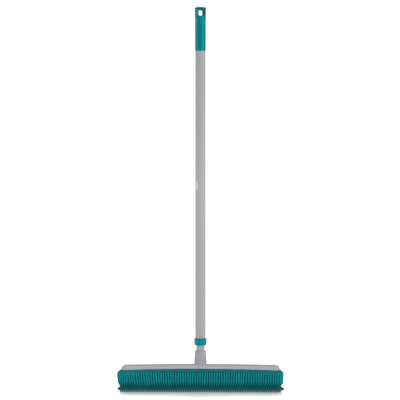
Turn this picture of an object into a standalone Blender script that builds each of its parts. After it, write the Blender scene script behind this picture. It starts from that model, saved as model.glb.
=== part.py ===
"""Rubber-bristle carpet sweeper on a two-part telescopic handle, as separate solids.

Metres, +Z up, the front towards -Y. The origin is on the floor under the handle's axis, at the
centre of the head's footprint. The head runs along X. A rubber pad with bristles and a squeegee
lip is stretched over a carrier plate, and screws hold the plate to a hollow plastic shell with a
threaded socket. The handle's inner tube screws into the socket. The outer tube slides on it, and
twisting it turns an eccentric cam that wedges the two tubes together.
"""

import math

import bmesh
import bpy
from mathutils import Matrix

# Fits and facets
ROUND = 32  # sides of a turned piece
SMALL_ROUND = 12  # sides of a screw or a small hole
GAP = 0.0003  # between pieces that meet or run on each other
SNUG = 0.0001  # between a pressed piece and its seat, whose facets line up
STATIONS = 16  # cross-sections along an arched bar

# The head's arch: every level below rises by arch(x) towards the middle
ARCH_RISE = 0.0035
ARCH_HALF = 0.1795

# Rubber pad, from the bristle tips on the floor up
PAD_HALF_LENGTH = 0.1895
PAD_HALF_DEPTH = 0.0310
PAD_CORNER = 0.0140
PAD_UNDERSIDE = 0.0400
PAD_FLOOR = 0.0440  # top of the pad's base, under the carrier plate
RIM_TOP = 0.0496
RIM_ROUND = 0.0055
LIP_BOTTOM = 0.0471
LIP_TOP = 0.0486
LIP_REACH = 0.0040  # how far the lip covers the carrier plate's edge

# Bristles
BRISTLES_PER_ROW = 67
BRISTLE_PITCH = 0.00554
INNER_ROWS = 5
ROW_PITCH = 0.0096
FRONT_ROW_Y = -0.0272
BRISTLE_ROOT = 0.0044  # across the flats
BRISTLE_TIP = 0.0030
BRISTLE_SINK = 0.0012  # how far a root runs into the pad
INNER_FOOT = 0.0040  # how far above the floor the inner rows end
TIP_LEAN_X = 0.967  # a tip's x as a share of its root's
TIP_LEAN_Y = 0.86
BRISTLE_CLEAR = 0.0072  # bare circle round each screw

# Squeegee lip along the back of the pad: (level, half length, y of its middle, thickness)
LIP_SECTIONS = (
    (0.0, 0.1924, 0.0302, 0.0016),
    (0.0034, 0.1906, 0.0299, 0.0018),
    (0.0085, 0.1848, 0.0294, 0.0022),
    (0.0140, 0.1824, 0.0292, 0.0024),
    (0.0412, 0.1790, 0.0284, 0.0036),
)

# Carrier plate
PLATE_HALF_LENGTH = 0.1780
PLATE_HALF_DEPTH = 0.0245
PLATE_CORNER = 0.0100
PLATE_BOTTOM = PAD_FLOOR + GAP
PLATE_TOP = LIP_BOTTOM - GAP

# Head shell
SHELL_HALF_LENGTH = 0.1812
SHELL_HALF_DEPTH = 0.0250
SHELL_CORNER = 0.0120
SHELL_BOTTOM = LIP_TOP + GAP
SHELL_WALL = 0.0025
CREST_END = 0.0592
CREST_RISE = 0.0020
CREST_ROUND = 0.0060
CROSS_RIBS_X = (0.0250, 0.0700, 0.1300)
RIB_THICKNESS = 0.0018

# Screws that hold the carrier plate to the shell's bosses
SCREW_X = (0.0400, 0.1000, 0.1600)
SCREW_HEAD_RADIUS = 0.0038
SCREW_HEAD_HEIGHT = 0.0024
SCREW_RADIUS = 0.0019
SCREW_LENGTH = 0.0090
BOSS_RADIUS = 0.0040
ACCESS_RADIUS = 0.0046  # hole in the pad that clears a screw's head
RECESS_WIDTH = 0.0011
RECESS_SPAN = 0.0042
RECESS_DEPTH = 0.0013

# Threaded socket on the shell
SOCKET_TOP = 0.0926
SOCKET_STEP_TOP = 0.0830
SOCKET_STEP_BOTTOM = 0.0765
SOCKET_UPPER_RADIUS = 0.0125
SOCKET_LOWER_RADIUS = 0.0137
SOCKET_FLARE = 0.0022
SOCKET_MOUTH_RADIUS = 0.0105
SOCKET_MOUTH_DEPTH = 0.0106
SOCKET_BORE_RADIUS = 0.0092
SOCKET_FLOOR = 0.0590
SOCKET_FOOT = 0.0540  # underside of the socket's root, inside the shell

# Handle thread
THREAD_PITCH = 0.0040
THREAD_TURNS = 4
THREAD_SIDES = 16
THREAD_START = 0.0640
THREAD_CREST_RADIUS = 0.0101
THREAD_CREST_WIDTH = 0.0010
THREAD_ROOT_WIDTH = 0.0024
THREAD_CLEARANCE = 0.00035

# Screw tip in the inner tube's lower end
TIP_SHANK_RADIUS = 0.0086
TIP_BOTTOM = 0.0625
TIP_FLANGE_BOTTOM = 0.0850
TIP_TOP = 0.1180
TIP_CORE_RADIUS = 0.0052
TIP_CORE_TOP = 0.1100

# Tubes
INNER_RADIUS = 0.00925
OUTER_RADIUS = 0.0110
TUBE_WALL = 0.0006
INNER_BOTTOM = 0.0880
INNER_TOP = 0.8145
OUTER_BOTTOM = 0.1068
OUTER_TOP = 0.8450

# Lock collar on the outer tube's lower end, with a guide sleeve inside the tube
COLLAR_BOTTOM = 0.1047
COLLAR_TOP = 0.1208
COLLAR_RADIUS = 0.0135
COLLAR_ROUND = 0.0022
COLLAR_CHAMFER = 0.0006
SLEEVE_TOP = 0.1630

# Lock at the inner tube's upper end
CORE_PLUG_DEPTH = 0.0250
CORE_SHOULDER_RADIUS = 0.0096
CORE_SHOULDER_TOP = INNER_TOP + 0.0030
RING_JOURNAL_RADIUS = 0.0075
RING_HEIGHT = 0.0074
RING_RADIUS = 0.0102
CORE_FLANGE_BOTTOM = CORE_SHOULDER_TOP + RING_HEIGHT + 2 * GAP
CORE_FLANGE_TOP = CORE_FLANGE_BOTTOM + 0.0020
CORE_FLANGE_RADIUS = 0.0092
CAM_OFFSET = 0.0010  # of the cam's journal from the handle's axis
CAM_JOURNAL_RADIUS = 0.0055
CAM_HEIGHT = 0.0120
CAM_RADIUS = 0.0093
CORE_CAP_BOTTOM = CORE_FLANGE_TOP + CAM_HEIGHT + 2 * GAP
CORE_CAP_RADIUS = 0.0085
RING_SLIT = 0.0016

# Hand grip, with a hanging eye above the outer tube's end
GRIP_BOTTOM = 0.7753
GRIP_TOP = 0.8756
GRIP_RADIUS = 0.01195
GRIP_BEAD_HEIGHT = 0.0045
GRIP_BEAD_TAPER = 0.0003
GRIP_STOP = OUTER_TOP + 0.0004  # underside of the web that rests on the lock core
EYE_RADIUS = 0.0122
EYE_SHOULDER = 0.8490
EYE_LOW = 0.8553
EYE_HIGH = 0.8690
EYE_HALF_WIDTH = 0.0079
EYE_CORNER = 0.0028
HANDLE_YAW = math.radians(22)  # the handle stands turned by this much in the socket


def arch(x):
    """The head's rise at x, which is highest in the middle."""
    return ARCH_RISE * (1 - (x / ARCH_HALF) ** 2)


def crest(x):
    """The shell's top at x."""
    return CREST_END + CREST_RISE * (1 - (x / SHELL_HALF_LENGTH) ** 2)


def level(height):
    """A surface parallel to the arch, that many metres above the floor at the head's ends."""
    return lambda x: height + arch(x)


def clear_scene():
    for obj in list(bpy.data.objects):
        bpy.data.objects.remove(obj)


def add_object(name, mesh):
    obj = bpy.data.objects.new(name, mesh)
    bpy.context.scene.collection.objects.link(obj)
    return obj


def object_from(bm, name):
    """A new object from a bmesh, with its faces pointing out."""
    bmesh.ops.recalc_face_normals(bm, faces=bm.faces)
    mesh = bpy.data.meshes.new(name)
    bm.to_mesh(mesh)
    bm.free()
    return add_object(name, mesh)


def bake(obj):
    """Applies the modifiers, welds the seam, fills open ends and turns the faces out."""
    graph = bpy.context.evaluated_depsgraph_get()
    mesh = bpy.data.meshes.new_from_object(obj.evaluated_get(graph))
    obj.modifiers.clear()
    bm = bmesh.new()
    bm.from_mesh(mesh)
    bmesh.ops.remove_doubles(bm, verts=bm.verts, dist=1e-7)
    bmesh.ops.holes_fill(bm, edges=[e for e in bm.edges if e.is_boundary])
    bmesh.ops.recalc_face_normals(bm, faces=bm.faces)
    bm.to_mesh(mesh)
    bm.free()
    obj.data = mesh
    return obj


def combine(target, tool, operation):
    """Joins tool to target, or cuts it away, and removes it."""
    modifier = target.modifiers.new(operation.lower(), "BOOLEAN")
    modifier.operation = operation
    modifier.object = tool
    bake(target)
    bpy.data.objects.remove(tool)
    return target


def joined(name, objects):
    """Separate shapes as one mesh, for a single Boolean."""
    bm = bmesh.new()
    for obj in objects:
        start = len(bm.verts)
        bm.from_mesh(obj.data)
        bm.verts.ensure_lookup_table()
        bmesh.ops.transform(bm, matrix=obj.matrix_basis, verts=bm.verts[start:])
        bpy.data.objects.remove(obj)
    return object_from(bm, name)


def turned(name, profile, closed=False, sides=ROUND):
    """A solid of revolution about Z. The profile is (radius, height) points: a closed loop for a
    ring, or else a line that starts and ends on the axis."""
    points = [(radius, 0, height) for radius, height in profile]
    edges = [(i, i + 1) for i in range(len(points) - 1)]
    if closed:
        edges.append((len(points) - 1, 0))
    mesh = bpy.data.meshes.new(name)
    mesh.from_pydata(points, edges, [])
    obj = add_object(name, mesh)
    screw = obj.modifiers.new("turn", "SCREW")
    screw.steps = screw.render_steps = sides
    screw.use_merge_vertices = True
    screw.merge_threshold = 1e-5
    return bake(obj)


def cylinder(name, radius, low, high, sides=ROUND, x=0.0, y=0.0):
    bm = bmesh.new()
    bmesh.ops.create_cone(
        bm,
        cap_ends=True,
        segments=sides,
        radius1=radius,
        radius2=radius,
        depth=high - low,
        matrix=Matrix.Translation((x, y, (low + high) / 2)),
    )
    return object_from(bm, name)


def box(name, low, high):
    bm = bmesh.new()
    bmesh.ops.create_cube(bm, size=1)
    size = [b - a for a, b in zip(low, high)]
    middle = [(a + b) / 2 for a, b in zip(low, high)]
    bmesh.ops.transform(
        bm,
        matrix=Matrix.Translation(middle) @ Matrix.Diagonal((*size, 1)),
        verts=bm.verts,
    )
    return object_from(bm, name)


def arc(centre, radius, start, end, steps):
    """Points on a circle of a profile, with the angles in degrees."""
    points = []
    for i in range(steps + 1):
        angle = math.radians(start + (end - start) * i / steps)
        points.append(
            (centre[0] + radius * math.cos(angle), centre[1] + radius * math.sin(angle))
        )
    return points


def bar(name, half_length, half_depth, low, high, corner, top_round=0.0):
    """A block along X whose underside and top follow the functions low(x) and high(x), with
    rounded upright corners and, if top_round is set, a rounded top edge."""
    bm = bmesh.new()
    bmesh.ops.create_cube(bm, size=2)
    for vert in bm.verts:
        vert.co.x *= half_length
        vert.co.y *= half_depth
    for i in range(1, STATIONS):
        bmesh.ops.bisect_plane(
            bm,
            geom=bm.verts[:] + bm.edges[:] + bm.faces[:],
            plane_co=(half_length * (2 * i / STATIONS - 1), 0, 0),
            plane_no=(1, 0, 0),
        )
    for vert in bm.verts:
        vert.co.z = high(vert.co.x) if vert.co.z > 0 else low(vert.co.x)
    upright = [
        edge
        for edge in bm.edges
        if all(abs(abs(v.co.x) - half_length) < 1e-6 for v in edge.verts)
        and abs(edge.verts[0].co.y - edge.verts[1].co.y) < 1e-6
    ]
    bmesh.ops.bevel(
        bm, geom=upright, offset=corner, segments=4, profile=0.5, affect="EDGES"
    )
    if top_round:
        bm.normal_update()
        top_faces = {face for face in bm.faces if face.normal.z > 0.9}
        brim = [
            edge
            for edge in bm.edges
            if sum(face in top_faces for face in edge.link_faces) == 1
        ]
        bmesh.ops.bevel(
            bm, geom=brim, offset=top_round, segments=3, profile=0.5, affect="EDGES"
        )
    return object_from(bm, name)


def thread(name, root_radius, crest_radius, root_width, crest_width):
    """One helical ridge of the handle thread, from its root inside the shank to its crest."""
    loop = [
        (root_radius, root_width / 2),
        (crest_radius, crest_width / 2),
        (crest_radius, -crest_width / 2),
        (root_radius, -root_width / 2),
    ]
    mesh = bpy.data.meshes.new(name)
    mesh.from_pydata(
        [(radius, 0, THREAD_START + rise) for radius, rise in loop],
        [(0, 1), (1, 2), (2, 3), (3, 0)],
        [],
    )
    obj = add_object(name, mesh)
    screw = obj.modifiers.new("helix", "SCREW")
    screw.steps = screw.render_steps = THREAD_SIDES
    screw.iterations = THREAD_TURNS
    screw.screw_offset = THREAD_PITCH
    return bake(obj)


def screw_places():
    return [(side * x, 0.0) for x in SCREW_X for side in (-1, 1)]


def screw_cylinders(name, radius, low, high):
    """One upright cylinder at each screw, from the height low(x) to the height high(x)."""
    return joined(
        name,
        [
            cylinder(name, radius, low(x), high(x), SMALL_ROUND, x, y)
            for x, y in screw_places()
        ],
    )


def bristle_places():
    """(x, y) of each bristle's root and the height of its tip: a close front row that reaches
    the floor, then staggered rows twice as open."""
    places = []
    for row in range(INNER_ROWS + 1):
        y = FRONT_ROW_Y + row * ROW_PITCH
        count = BRISTLES_PER_ROW // 2 + row % 2 if row else BRISTLES_PER_ROW
        pitch = 2 * BRISTLE_PITCH if row else BRISTLE_PITCH
        foot = INNER_FOOT if row else 0.0
        for i in range(count):
            x = (i - (count - 1) / 2) * pitch
            if all(math.hypot(x - sx, y - sy) > BRISTLE_CLEAR for sx, sy in screw_places()):
                places.append((x, y, foot))
    return places


def make_bristles():
    """Square tapered bristles that lean in towards the head's middle as they go down."""
    bm = bmesh.new()
    half_diagonal = math.sqrt(0.5)
    for x, y, foot in bristle_places():
        length = PAD_UNDERSIDE + arch(x) + BRISTLE_SINK - foot
        lean = Matrix.Identity(4)
        lean[0][2] = x * (1 - TIP_LEAN_X) / length
        lean[1][2] = y * (1 - TIP_LEAN_Y) / length
        upright = Matrix.Translation((0, 0, length / 2)) @ Matrix.Rotation(math.pi / 4, 4, "Z")
        tip = Matrix.Translation((x * TIP_LEAN_X, y * TIP_LEAN_Y, foot))
        bmesh.ops.create_cone(
            bm,
            cap_ends=True,
            segments=4,
            radius1=BRISTLE_TIP * half_diagonal,
            radius2=BRISTLE_ROOT * half_diagonal,
            depth=length,
            matrix=tip @ lean @ upright,
        )
    return object_from(bm, "bristles")


def make_squeegee():
    """The lip: a thin wall lofted through its sections, whose top follows the arch."""
    bm = bmesh.new()
    rings = []
    for index, (height, half_length, y, thickness) in enumerate(LIP_SECTIONS):
        on_top = index == len(LIP_SECTIONS) - 1
        ring = []
        for side in (-1, 1):
            for i in range(STATIONS + 1):
                x = side * half_length * (2 * i / STATIONS - 1)
                rise = arch(x) if on_top else 0.0
                ring.append(bm.verts.new((x, y - side * thickness / 2, height + rise)))
        rings.append(ring)
    count = len(rings[0])
    for lower, upper in zip(rings, rings[1:]):
        for i in range(count):
            j = (i + 1) % count
            bm.faces.new((lower[i], lower[j], upper[j], upper[i]))
    half = count // 2
    for ring in (rings[0], rings[-1]):
        for i in range(half - 1):
            bm.faces.new((ring[i], ring[i + 1], ring[count - 2 - i], ring[count - 1 - i]))
    return object_from(bm, "squeegee")


def make_rubber_pad():
    """Tub with an inner lip over the carrier plate, bristles below and a squeegee at the back."""
    pad = bar(
        "rubber_pad",
        PAD_HALF_LENGTH,
        PAD_HALF_DEPTH,
        level(PAD_UNDERSIDE),
        level(RIM_TOP),
        PAD_CORNER,
        RIM_ROUND,
    )
    pocket = bar(
        "plate_pocket",
        PLATE_HALF_LENGTH + GAP,
        PLATE_HALF_DEPTH + GAP,
        level(PAD_FLOOR),
        level(LIP_BOTTOM),
        PLATE_CORNER,
    )
    throat = bar(
        "lip_opening",
        PLATE_HALF_LENGTH - LIP_REACH,
        PLATE_HALF_DEPTH - LIP_REACH,
        level(LIP_BOTTOM - 0.0010),
        level(LIP_TOP + 0.0010),
        PLATE_CORNER,
    )
    combine(pocket, throat, "UNION")
    seat = bar(
        "shell_seat",
        SHELL_HALF_LENGTH + GAP,
        SHELL_HALF_DEPTH + GAP,
        level(LIP_TOP),
        level(RIM_TOP + 0.0050),
        SHELL_CORNER,
    )
    combine(pocket, seat, "UNION")
    combine(pad, pocket, "DIFFERENCE")
    combine(pad, make_squeegee(), "UNION")
    combine(pad, make_bristles(), "UNION")
    access = screw_cylinders(
        "screw_access",
        ACCESS_RADIUS,
        level(PAD_UNDERSIDE - 0.0010),
        level(PAD_FLOOR + 0.0005),
    )
    return combine(pad, access, "DIFFERENCE")


def make_carrier_plate():
    plate = bar(
        "carrier_plate",
        PLATE_HALF_LENGTH,
        PLATE_HALF_DEPTH,
        level(PLATE_BOTTOM),
        level(PLATE_TOP),
        PLATE_CORNER,
    )
    holes = screw_cylinders(
        "plate_holes",
        SCREW_RADIUS + GAP,
        level(PLATE_BOTTOM - 0.0010),
        level(PLATE_TOP + 0.0010),
    )
    return combine(plate, holes, "DIFFERENCE")


def make_web(x):
    """A cross rib at x that follows the shell's section, a little inside its outer face."""
    inset = 0.0012
    low = (x - RIB_THICKNESS / 2, inset - SHELL_HALF_DEPTH, SHELL_BOTTOM + arch(x) + GAP)
    high = (x + RIB_THICKNESS / 2, SHELL_HALF_DEPTH - inset, crest(x) - inset)
    web = box("web", low, high)
    bm = bmesh.new()
    bm.from_mesh(web.data)
    bpy.data.objects.remove(web)
    brim = [
        edge
        for edge in bm.edges
        if all(abs(vert.co.z - high[2]) < 1e-6 for vert in edge.verts)
        and abs(edge.verts[0].co.y - edge.verts[1].co.y) < 1e-6
    ]
    bmesh.ops.bevel(
        bm, geom=brim, offset=CREST_ROUND - inset, segments=3, profile=0.5, affect="EDGES"
    )
    return object_from(bm, "web")


def make_head_shell():
    """Hollow cover with cross ribs, screw bosses and the threaded socket."""
    shell = bar(
        "head_shell",
        SHELL_HALF_LENGTH,
        SHELL_HALF_DEPTH,
        level(SHELL_BOTTOM),
        crest,
        SHELL_CORNER,
        CREST_ROUND,
    )
    hollow = bar(
        "hollow",
        SHELL_HALF_LENGTH - SHELL_WALL,
        SHELL_HALF_DEPTH - SHELL_WALL,
        level(SHELL_BOTTOM - 0.0050),
        lambda x: crest(x) - SHELL_WALL,
        SHELL_CORNER - SHELL_WALL,
        CREST_ROUND - SHELL_WALL,
    )
    combine(shell, hollow, "DIFFERENCE")
    webs = [make_web(side * x) for x in CROSS_RIBS_X for side in (-1, 1)]
    combine(shell, joined("webs", webs), "UNION")
    bosses = screw_cylinders(
        "bosses", BOSS_RADIUS, level(PLATE_TOP + GAP), lambda x: crest(x) - SHELL_WALL / 2
    )
    combine(shell, bosses, "UNION")
    combine(shell, make_socket_body(), "UNION")
    bore = turned(
        "socket_bore",
        [
            (0, SOCKET_TOP + 0.0010),
            (SOCKET_MOUTH_RADIUS, SOCKET_TOP + 0.0010),
            (SOCKET_MOUTH_RADIUS, SOCKET_TOP - SOCKET_MOUTH_DEPTH),
            (SOCKET_BORE_RADIUS, SOCKET_TOP - SOCKET_MOUTH_DEPTH - 0.0015),
            (SOCKET_BORE_RADIUS, SOCKET_FLOOR),
            (0, SOCKET_FLOOR),
        ],
    )
    combine(shell, bore, "DIFFERENCE")
    groove = thread(
        "thread_groove",
        SOCKET_BORE_RADIUS - 0.0004,
        THREAD_CREST_RADIUS + THREAD_CLEARANCE,
        THREAD_ROOT_WIDTH + 2 * THREAD_CLEARANCE,
        THREAD_CREST_WIDTH + 2 * THREAD_CLEARANCE,
    )
    combine(shell, groove, "DIFFERENCE")
    pilots = screw_cylinders(
        "pilots",
        SCREW_RADIUS + GAP,
        level(PLATE_TOP - 0.0020),
        level(PLATE_BOTTOM + SCREW_LENGTH + GAP),
    )
    return combine(shell, pilots, "DIFFERENCE")


def make_socket_body():
    """The socket's outside: a stepped tube that flares into the shell's crest."""
    middle = crest(0)
    flare = arc(
        (SOCKET_LOWER_RADIUS + SOCKET_FLARE, middle + SOCKET_FLARE), SOCKET_FLARE, 180, 270, 4
    )
    return turned(
        "socket",
        [
            (0, SOCKET_TOP),
            (SOCKET_UPPER_RADIUS - 0.0005, SOCKET_TOP),
            (SOCKET_UPPER_RADIUS, SOCKET_TOP - 0.0005),
            (SOCKET_UPPER_RADIUS, SOCKET_STEP_TOP),
            (SOCKET_LOWER_RADIUS, SOCKET_STEP_BOTTOM),
            *flare,
            (SOCKET_LOWER_RADIUS + SOCKET_FLARE, middle - 0.0012),
            (SOCKET_LOWER_RADIUS, middle - 0.0012),
            (SOCKET_LOWER_RADIUS, SOCKET_FOOT),
            (0, SOCKET_FOOT),
        ],
    )


def make_carrier_screws():
    """Pan-head self-tapping screws with a cross recess, driven up through the pad."""
    top = PLATE_BOTTOM - GAP
    screw = turned(
        "carrier_screw",
        [
            (0, top + SCREW_LENGTH),
            (SCREW_RADIUS * 0.4, top + SCREW_LENGTH),
            (SCREW_RADIUS, top + SCREW_LENGTH - 0.0020),
            (SCREW_RADIUS, top),
            (SCREW_HEAD_RADIUS, top),
            (SCREW_HEAD_RADIUS, top - SCREW_HEAD_HEIGHT * 0.55),
            (SCREW_HEAD_RADIUS * 0.75, top - SCREW_HEAD_HEIGHT),
            (0, top - SCREW_HEAD_HEIGHT),
        ],
        sides=SMALL_ROUND,
    )
    low = top - SCREW_HEAD_HEIGHT
    for span_x, span_y in ((RECESS_SPAN, RECESS_WIDTH), (RECESS_WIDTH, RECESS_SPAN)):
        recess = box(
            "recess",
            (-span_x / 2, -span_y / 2, low - 0.0010),
            (span_x / 2, span_y / 2, low + RECESS_DEPTH),
        )
        combine(screw, recess, "DIFFERENCE")
    mesh = screw.data
    bpy.data.objects.remove(screw)
    screws = []
    for number, (x, y) in enumerate(screw_places(), 1):
        obj = add_object(f"carrier_screw_{number}", mesh)
        obj.location = (x, y, arch(x))
        screws.append(obj)
    return screws


def make_screw_tip():
    """Threaded plastic end pressed into the inner tube, cored from below."""
    plug_radius = INNER_RADIUS - TUBE_WALL - GAP
    tip = turned(
        "screw_tip",
        [
            (0, TIP_TOP),
            (plug_radius - 0.0010, TIP_TOP),
            (plug_radius, TIP_TOP - 0.0015),
            (plug_radius, INNER_BOTTOM - GAP),
            (INNER_RADIUS, INNER_BOTTOM - GAP),
            (INNER_RADIUS, TIP_FLANGE_BOTTOM),
            (TIP_SHANK_RADIUS, TIP_FLANGE_BOTTOM),
            (TIP_SHANK_RADIUS, TIP_BOTTOM + 0.0010),
            (TIP_SHANK_RADIUS - 0.0010, TIP_BOTTOM),
            (0, TIP_BOTTOM),
        ],
    )
    ridge = thread(
        "thread_ridge",
        TIP_SHANK_RADIUS - 0.0004,
        THREAD_CREST_RADIUS,
        THREAD_ROOT_WIDTH,
        THREAD_CREST_WIDTH,
    )
    combine(tip, ridge, "UNION")
    core = cylinder("tip_core", TIP_CORE_RADIUS, TIP_BOTTOM - 0.0010, TIP_CORE_TOP, 24)
    return combine(tip, core, "DIFFERENCE")


def make_tube(name, radius, low, high):
    inside = radius - TUBE_WALL
    return turned(
        name, [(radius, high), (radius, low), (inside, low), (inside, high)], closed=True
    )


def make_lock_core():
    """Plug in the inner tube's top, with a round journal for the guide ring and an offset one
    for the cam."""
    plug_radius = INNER_RADIUS - TUBE_WALL - GAP
    core = turned(
        "lock_core",
        [
            (0, CORE_FLANGE_TOP),
            (CORE_FLANGE_RADIUS, CORE_FLANGE_TOP),
            (CORE_FLANGE_RADIUS, CORE_FLANGE_BOTTOM),
            (RING_JOURNAL_RADIUS, CORE_FLANGE_BOTTOM),
            (RING_JOURNAL_RADIUS, CORE_SHOULDER_TOP),
            (CORE_SHOULDER_RADIUS, CORE_SHOULDER_TOP),
            (CORE_SHOULDER_RADIUS, INNER_TOP + GAP),
            (plug_radius, INNER_TOP + GAP),
            (plug_radius, INNER_TOP - CORE_PLUG_DEPTH + 0.0015),
            (plug_radius - 0.0010, INNER_TOP - CORE_PLUG_DEPTH),
            (0, INNER_TOP - CORE_PLUG_DEPTH),
        ],
    )
    journal = cylinder(
        "cam_journal",
        CAM_JOURNAL_RADIUS,
        CORE_FLANGE_TOP - 0.0010,
        CORE_CAP_BOTTOM + 0.0010,
        ROUND,
        CAM_OFFSET,
    )
    combine(core, journal, "UNION")
    cap = cylinder("core_cap", CORE_CAP_RADIUS, CORE_CAP_BOTTOM, OUTER_TOP)
    return combine(core, cap, "UNION")


def make_lock_cam():
    """Split ring, bored off centre, whose origin is on its journal."""
    cam = cylinder("lock_cam", CAM_RADIUS, 0, CAM_HEIGHT, ROUND, -CAM_OFFSET)
    bore = cylinder("cam_bore", CAM_JOURNAL_RADIUS + GAP, -0.0010, CAM_HEIGHT + 0.0010)
    combine(cam, bore, "DIFFERENCE")
    slit = box(
        "cam_slit",
        (0, -RING_SLIT / 2, -0.0010),
        (2 * CAM_RADIUS, RING_SLIT / 2, CAM_HEIGHT + 0.0010),
    )
    combine(cam, slit, "DIFFERENCE")
    cam.location = (CAM_OFFSET, 0, CORE_FLANGE_TOP + GAP)
    return cam


def make_guide_ring():
    """Split ring that drags in the outer tube, and so turns with it."""
    bore = RING_JOURNAL_RADIUS + GAP
    ring = turned(
        "guide_ring",
        [
            (RING_RADIUS - 0.0005, RING_HEIGHT),
            (RING_RADIUS, RING_HEIGHT - 0.0005),
            (RING_RADIUS, 0.0005),
            (RING_RADIUS - 0.0005, 0),
            (bore, 0),
            (bore, RING_HEIGHT),
        ],
        closed=True,
    )
    slit = box(
        "ring_slit",
        (0, -RING_SLIT / 2, -0.0010),
        (2 * RING_RADIUS, RING_SLIT / 2, RING_HEIGHT + 0.0010),
    )
    combine(ring, slit, "DIFFERENCE")
    ring.location = (0, 0, CORE_SHOULDER_TOP + GAP)
    return ring


def make_lock_collar():
    """Collar that grips the outer tube's end and guides the inner tube with a thin sleeve."""
    outside = OUTER_RADIUS + SNUG
    sleeve_outside = OUTER_RADIUS - TUBE_WALL - SNUG
    sleeve_inside = INNER_RADIUS + GAP
    web_top = OUTER_BOTTOM - GAP
    foot = arc(
        (COLLAR_RADIUS - COLLAR_ROUND, COLLAR_BOTTOM + COLLAR_ROUND), COLLAR_ROUND, 0, -90, 5
    )
    return turned(
        "lock_collar",
        [
            (COLLAR_RADIUS - COLLAR_CHAMFER, COLLAR_TOP),
            (COLLAR_RADIUS, COLLAR_TOP - COLLAR_CHAMFER),
            *foot,
            (sleeve_inside, COLLAR_BOTTOM),
            (sleeve_inside, SLEEVE_TOP),
            (sleeve_outside, SLEEVE_TOP),
            (sleeve_outside, web_top),
            (outside, web_top),
            (outside, COLLAR_TOP),
        ],
        closed=True,
    )


def make_hand_grip():
    """Sleeve over the outer tube's top, closed by a web, with a hanging eye above it."""
    crown = 0.0012
    shoulder = 0.0020
    grip = turned(
        "hand_grip",
        [
            (0, GRIP_TOP),
            (EYE_RADIUS * 0.5, GRIP_TOP - crown * 0.25),
            (EYE_RADIUS - shoulder, GRIP_TOP - crown),
            (EYE_RADIUS - shoulder * 0.3, GRIP_TOP - crown - shoulder * 0.3),
            (EYE_RADIUS, GRIP_TOP - crown - shoulder),
            (EYE_RADIUS, EYE_SHOULDER + 0.0040),
            (GRIP_RADIUS, EYE_SHOULDER),
            (GRIP_RADIUS, GRIP_BOTTOM + GRIP_BEAD_HEIGHT),
            (GRIP_RADIUS - GRIP_BEAD_TAPER, GRIP_BOTTOM + GRIP_BEAD_HEIGHT - 0.0006),
            (GRIP_RADIUS - GRIP_BEAD_TAPER, GRIP_BOTTOM),
            (0, GRIP_BOTTOM),
        ],
    )
    bore = cylinder("grip_bore", OUTER_RADIUS + SNUG, GRIP_BOTTOM - 0.0010, GRIP_STOP)
    combine(grip, bore, "DIFFERENCE")
    return combine(grip, make_eye_hole(), "DIFFERENCE")


def make_eye_hole():
    """Cutter for the hanging eye: a block with round edges along Y."""
    bm = bmesh.new()
    bmesh.ops.create_cube(bm, size=1)
    size = (2 * EYE_HALF_WIDTH, 4 * EYE_RADIUS, EYE_HIGH - EYE_LOW)
    place = Matrix.Translation((0, 0, (EYE_LOW + EYE_HIGH) / 2))
    bmesh.ops.transform(bm, matrix=place @ Matrix.Diagonal((*size, 1)), verts=bm.verts)
    along = [
        edge for edge in bm.edges if abs(edge.verts[0].co.y - edge.verts[1].co.y) > 1e-6
    ]
    bmesh.ops.bevel(
        bm, geom=along, offset=EYE_CORNER, segments=4, profile=0.5, affect="EDGES"
    )
    return object_from(bm, "eye_hole")


def make_material(name, colour, roughness, metallic=0.0):
    material = bpy.data.materials.new(name)
    material.use_nodes = True
    shader = material.node_tree.nodes["Principled BSDF"]
    shader.inputs["Base Color"].default_value = (*colour, 1)
    shader.inputs["Roughness"].default_value = roughness
    shader.inputs["Metallic"].default_value = metallic
    return material


def finish(obj, material, collection):
    """Gives a part its material and smooth round faces, and files it."""
    obj.data.materials.clear()
    obj.data.materials.append(material)
    obj.data.shade_smooth()
    obj.data.set_sharp_from_angle(angle=math.radians(35))
    bpy.context.scene.collection.objects.unlink(obj)
    collection.objects.link(obj)


def add_axis(name, place, collection):
    empty = bpy.data.objects.new(name, None)
    empty.location = place
    collection.objects.link(empty)
    return empty


def main():
    clear_scene()
    collection = bpy.data.collections.new("carpet_sweeper")
    bpy.context.scene.collection.children.link(collection)

    teal_plastic = make_material("teal_plastic", (0.003, 0.225, 0.250), 0.35)
    teal_rubber = make_material("teal_rubber", (0.006, 0.150, 0.160), 0.60)
    grey_plastic = make_material("grey_plastic", (0.360, 0.370, 0.395), 0.45)
    grey_paint = make_material("grey_paint", (0.410, 0.420, 0.430), 0.35)
    nylon = make_material("nylon", (0.700, 0.700, 0.660), 0.50)
    zinc = make_material("zinc", (0.600, 0.600, 0.580), 0.35, 1.0)

    head = [
        (make_rubber_pad(), teal_rubber),
        (make_carrier_plate(), grey_plastic),
        (make_head_shell(), grey_plastic),
        (make_screw_tip(), grey_plastic),
        (make_tube("inner_tube", INNER_RADIUS, INNER_BOTTOM, INNER_TOP), grey_paint),
        (make_lock_core(), nylon),
    ]
    head += [(screw, zinc) for screw in make_carrier_screws()]
    for obj, material in head:
        finish(obj, material, collection)

    cam = make_lock_cam()
    finish(cam, nylon, collection)
    ring = make_guide_ring()
    finish(ring, nylon, collection)

    slide = add_axis("handle_slide_axis", (0, 0, 0), collection)
    slide.rotation_euler.z = HANDLE_YAW
    handle = [
        (make_tube("outer_tube", OUTER_RADIUS, OUTER_BOTTOM, OUTER_TOP), grey_paint),
        (make_lock_collar(), teal_plastic),
        (make_hand_grip(), teal_plastic),
    ]
    for obj, material in handle:
        finish(obj, material, collection)
        obj.parent = slide


main()
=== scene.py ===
import math
import random

import bmesh
import bpy
import numpy as np
from mathutils import Matrix, Vector


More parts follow.
